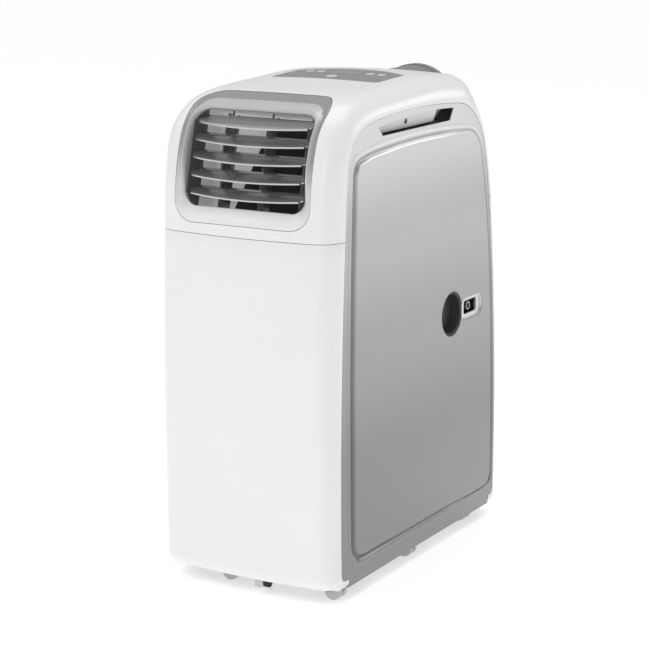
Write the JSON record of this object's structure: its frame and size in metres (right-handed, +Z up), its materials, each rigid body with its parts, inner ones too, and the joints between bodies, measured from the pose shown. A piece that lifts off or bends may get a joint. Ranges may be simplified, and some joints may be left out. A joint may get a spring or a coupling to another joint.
{
  "type": "portable air conditioner",
  "caption": "Tall narrow room air conditioner on castors, domed white shell, silver sides with carrying recesses, louvred front outlet, top controls and rear hose collar.",
  "frame": {"origin": "centre of the bounding box's footprint, on the floor", "axes": "+Z up, the air outlet faces -Y, the exhaust collar faces +Y, +X towards the side with the round recess"},
  "size_m": [0.303, 0.584, 0.7624],
  "materials": {
    "white_shell": "satin gloss",
    "silver_panel": "silver paint",
    "outlet_silver": "silver paint",
    "louvre_silver": "silver paint",
    "dark_grey": "fine texture",
    "mid_grey": "fine texture",
    "pale_plastic": "moulded",
    "display": "clear window",
    "black_rubber": "matt",
    "coil_fins": "finned",
    "black_paint": "semi-gloss",
    "motor_steel": "plated",
    "circuit_green": "solder mask",
    "copper": "drawn tube",
    "castor_white": "translucent",
    "castor_dark": "moulded",
    "plated_steel": "zinc"
  },
  "bodies": {
    "cabinet": {"base_pan": "pale_plastic", "front_panel": "white_shell", "top_cover": "white_shell", "rear_panel": "white_shell", "side_panel_right": "silver_panel", "side_panel_left": "silver_panel", "handle_right": "silver_panel", "handle_left": "silver_panel", "outlet_bezel": "outlet_silver", "louvre_frame": "dark_grey", "outlet_duct": "pale_plastic", "swing_motor": "motor_steel", "control_fascia": "mid_grey", "display_lens": "display", "control_board": "circuit_green", "exhaust_collar": "mid_grey", "port_surround": "dark_grey", "drain_spigot": "mid_grey", "cord_gland": "black_rubber", "evaporator": "coil_fins", "condenser": "coil_fins", "compressor": "black_paint", "fan_housing_upper": "pale_plastic", "fan_motor_upper": "motor_steel", "fan_housing_lower": "pale_plastic", "fan_motor_lower": "motor_steel", "condensate_tray": "pale_plastic", "refrigerant_pipes": "copper", "case_screws": "plated_steel"},
    "louvre_1": {"louvre_1": "louvre_silver"},
    "louvre_2": {"louvre_2": "louvre_silver"},
    "louvre_3": {"louvre_3": "louvre_silver"},
    "louvre_4": {"louvre_4": "louvre_silver"},
    "louvre_5": {"louvre_5": "louvre_silver"},
    "louvre_link": {"louvre_link": "mid_grey"},
    "vane_1": {"vane_1": "mid_grey"},
    "vane_2": {"vane_2": "mid_grey"},
    "vane_3": {"vane_3": "mid_grey"},
    "vane_link": {"vane_link": "mid_grey"},
    "button_power": {"button_power": "pale_plastic"},
    "button_mode": {"button_mode": "pale_plastic"},
    "button_timer": {"button_timer": "pale_plastic"},
    "button_down": {"button_down": "pale_plastic"},
    "button_up": {"button_up": "pale_plastic"},
    "filter_upper": {"filter_upper": "white_shell"},
    "filter_lower": {"filter_lower": "white_shell"},
    "drain_plug": {"drain_plug": "black_rubber"},
    "impeller_upper": {"impeller_upper": "dark_grey"},
    "impeller_lower": {"impeller_lower": "dark_grey"},
    "castor_front_right": {"castor_front_right": "castor_white"},
    "castor_wheel_front_right": {"castor_wheel_front_right": "castor_white"},
    "castor_front_left": {"castor_front_left": "castor_white"},
    "castor_wheel_front_left": {"castor_wheel_front_left": "castor_white"},
    "castor_middle": {"castor_middle": "castor_dark"},
    "castor_wheel_middle": {"castor_wheel_middle": "castor_white"},
    "castor_rear_right": {"castor_rear_right": "castor_white"},
    "castor_wheel_rear_right": {"castor_wheel_rear_right": "castor_white"},
    "castor_rear_left": {"castor_rear_left": "castor_white"},
    "castor_wheel_rear_left": {"castor_wheel_rear_left": "castor_white"}
  },
  "joints": [
    {"name": "louvre_1_swing", "type": "hinge", "parent": "cabinet", "child": "louvre_1", "pos_m": [0, -0.22372, 0.71127], "axis": [1, 0, 0], "range_deg": [-20, 25]},
    {"name": "louvre_2_swing", "type": "hinge", "parent": "cabinet", "child": "louvre_2", "pos_m": [0, -0.23362, 0.68674], "axis": [1, 0, 0], "range_deg": [-20, 25]},
    {"name": "louvre_3_swing", "type": "hinge", "parent": "cabinet", "child": "louvre_3", "pos_m": [0, -0.24115, 0.66161], "axis": [1, 0, 0], "range_deg": [-20, 25]},
    {"name": "louvre_4_swing", "type": "hinge", "parent": "cabinet", "child": "louvre_4", "pos_m": [0, -0.2463, 0.63589], "axis": [1, 0, 0], "range_deg": [-20, 25]},
    {"name": "louvre_5_swing", "type": "hinge", "parent": "cabinet", "child": "louvre_5", "pos_m": [0, -0.24907, 0.60958], "axis": [1, 0, 0], "range_deg": [-20, 25]},
    {"name": "louvre_link_pivot", "type": "hinge", "parent": "louvre_3", "child": "louvre_link", "pos_m": [0, -0.22563, 0.66548], "axis": [1, 0, 0], "range_deg": [-25, 20]},
    {"name": "vane_1_swing", "type": "hinge", "parent": "cabinet", "child": "vane_1", "pos_m": [-0.069, -0.20226, 0.64645], "axis": [0, 0.2419, 0.9703], "range_deg": [-30, 30]},
    {"name": "vane_2_swing", "type": "hinge", "parent": "cabinet", "child": "vane_2", "pos_m": [0, -0.20226, 0.64645], "axis": [0, 0.2419, 0.9703], "range_deg": [-30, 30]},
    {"name": "vane_3_swing", "type": "hinge", "parent": "cabinet", "child": "vane_3", "pos_m": [0.069, -0.20226, 0.64645], "axis": [0, 0.2419, 0.9703], "range_deg": [-30, 30]},
    {"name": "vane_link_pivot", "type": "hinge", "parent": "vane_2", "child": "vane_link", "pos_m": [0, -0.18771, 0.64282], "axis": [0, 0.2419, 0.9703], "range_deg": [-30, 30]},
    {"name": "button_power_press", "type": "slide", "parent": "cabinet", "child": "button_power", "axis": [0, 0, -1], "range_m": [0, 0.0015], "stiffness_N_per_m": 400},
    {"name": "button_mode_press", "type": "slide", "parent": "cabinet", "child": "button_mode", "axis": [0, 0, -1], "range_m": [0, 0.0015], "stiffness_N_per_m": 400},
    {"name": "button_timer_press", "type": "slide", "parent": "cabinet", "child": "button_timer", "axis": [0, 0, -1], "range_m": [0, 0.0015], "stiffness_N_per_m": 400},
    {"name": "button_down_press", "type": "slide", "parent": "cabinet", "child": "button_down", "axis": [0, 0, -1], "range_m": [0, 0.0015], "stiffness_N_per_m": 400},
    {"name": "button_up_press", "type": "slide", "parent": "cabinet", "child": "button_up", "axis": [0, 0, -1], "range_m": [0, 0.0015], "stiffness_N_per_m": 400},
    {"name": "filter_upper_pull", "type": "slide", "parent": "cabinet", "child": "filter_upper", "axis": [0, 0.9952, 0.0976], "range_m": [0, 0.06]},
    {"name": "filter_lower_pull", "type": "slide", "parent": "cabinet", "child": "filter_lower", "axis": [0, 1, 0], "range_m": [0, 0.06]},
    {"name": "drain_plug_pull", "type": "slide", "parent": "cabinet", "child": "drain_plug", "axis": [1, 0, 0], "range_m": [0, 0.03]},
    {"name": "impeller_upper_spin", "type": "hinge", "parent": "cabinet", "child": "impeller_upper", "pos_m": [0, 0.05, 0.436], "axis": [0, 1, 0], "continuous": true},
    {"name": "impeller_lower_spin", "type": "hinge", "parent": "cabinet", "child": "impeller_lower", "pos_m": [-0.03, 0.155, 0.191], "axis": [0, 1, 0], "continuous": true},
    {"name": "castor_front_right_swivel", "type": "hinge", "parent": "cabinet", "child": "castor_front_right", "pos_m": [0.116, -0.222, 0.045], "axis": [0, 0, 1], "continuous": true},
    {"name": "castor_front_right_roll", "type": "hinge", "parent": "castor_front_right", "child": "castor_wheel_front_right", "pos_m": [0.127, -0.222, 0.014], "axis": [0, 1, 0], "continuous": true},
    {"name": "castor_front_left_swivel", "type": "hinge", "parent": "cabinet", "child": "castor_front_left", "pos_m": [-0.065, -0.224, 0.045], "axis": [0, 0, 1], "continuous": true},
    {"name": "castor_front_left_roll", "type": "hinge", "parent": "castor_front_left", "child": "castor_wheel_front_left", "pos_m": [-0.054, -0.224, 0.014], "axis": [0, 1, 0], "continuous": true},
    {"name": "castor_middle_swivel", "type": "hinge", "parent": "cabinet", "child": "castor_middle", "pos_m": [0.116, 0.005, 0.045], "axis": [0, 0, 1], "continuous": true},
    {"name": "castor_middle_roll", "type": "hinge", "parent": "castor_middle", "child": "castor_wheel_middle", "pos_m": [0.127, 0.005, 0.014], "axis": [0, 1, 0], "continuous": true},
    {"name": "castor_rear_right_swivel", "type": "hinge", "parent": "cabinet", "child": "castor_rear_right", "pos_m": [0.11, 0.215, 0.045], "axis": [0, 0, 1], "continuous": true},
    {"name": "castor_rear_right_roll", "type": "hinge", "parent": "castor_rear_right", "child": "castor_wheel_rear_right", "pos_m": [0.121, 0.215, 0.014], "axis": [0, 1, 0], "continuous": true},
    {"name": "castor_rear_left_swivel", "type": "hinge", "parent": "cabinet", "child": "castor_rear_left", "pos_m": [-0.11, 0.215, 0.045], "axis": [0, 0, 1], "continuous": true},
    {"name": "castor_rear_left_roll", "type": "hinge", "parent": "castor_rear_left", "child": "castor_wheel_rear_left", "pos_m": [-0.099, 0.215, 0.014], "axis": [0, 1, 0], "continuous": true}
  ],
  "couplings": [
    {"joint": "louvre_1_swing", "follows": "louvre_3_swing", "ratio": 1},
    {"joint": "louvre_2_swing", "follows": "louvre_3_swing", "ratio": 1},
    {"joint": "louvre_4_swing", "follows": "louvre_3_swing", "ratio": 1},
    {"joint": "louvre_5_swing", "follows": "louvre_3_swing", "ratio": 1},
    {"joint": "louvre_link_pivot", "follows": "louvre_3_swing", "ratio": -1},
    {"joint": "vane_1_swing", "follows": "vane_2_swing", "ratio": 1},
    {"joint": "vane_3_swing", "follows": "vane_2_swing", "ratio": 1},
    {"joint": "vane_link_pivot", "follows": "vane_2_swing", "ratio": -1}
  ]
}
